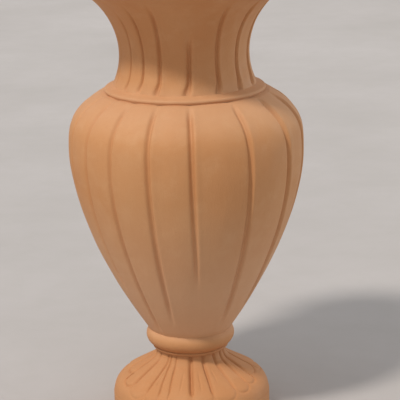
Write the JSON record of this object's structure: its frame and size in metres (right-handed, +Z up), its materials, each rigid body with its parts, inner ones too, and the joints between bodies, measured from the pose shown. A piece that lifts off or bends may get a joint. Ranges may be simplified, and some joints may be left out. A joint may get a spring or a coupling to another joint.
{
  "type": "amphora",
  "caption": "Tall fluted terracotta urn with a trumpet neck, a rolled rim, a full shoulder, a torus collar and a hollow bell-shaped foot with a drain bore.",
  "frame": {"origin": "on the vessel's axis, in the plane that the foot ring stands on", "axes": "+Z up along the vessel's axis, towards the mouth; -Y is the side of the groove at azimuth 0"},
  "size_m": [0.4139, 0.414, 0.77],
  "materials": {
    "terracotta": "unglazed fired clay, smoothed by hand, matte with a faint sheen",
    "terracotta_inner": "unglazed fired clay, rough inside face",
    "slip_mortar": "dried slip, matte and sandy"
  },
  "bodies": {
    "root": {"foot_ring": "terracotta", "foot": "terracotta", "foot_bed": "slip_mortar", "collar_fillet": "terracotta", "collar_ring": "terracotta", "spigot": "terracotta_inner", "bowl": "terracotta", "girth_coil": "terracotta_inner", "shoulder": "terracotta", "neck_bed": "slip_mortar", "neck_flange": "terracotta", "neck": "terracotta", "rim_roll": "terracotta"}
  },
  "joints": []
}
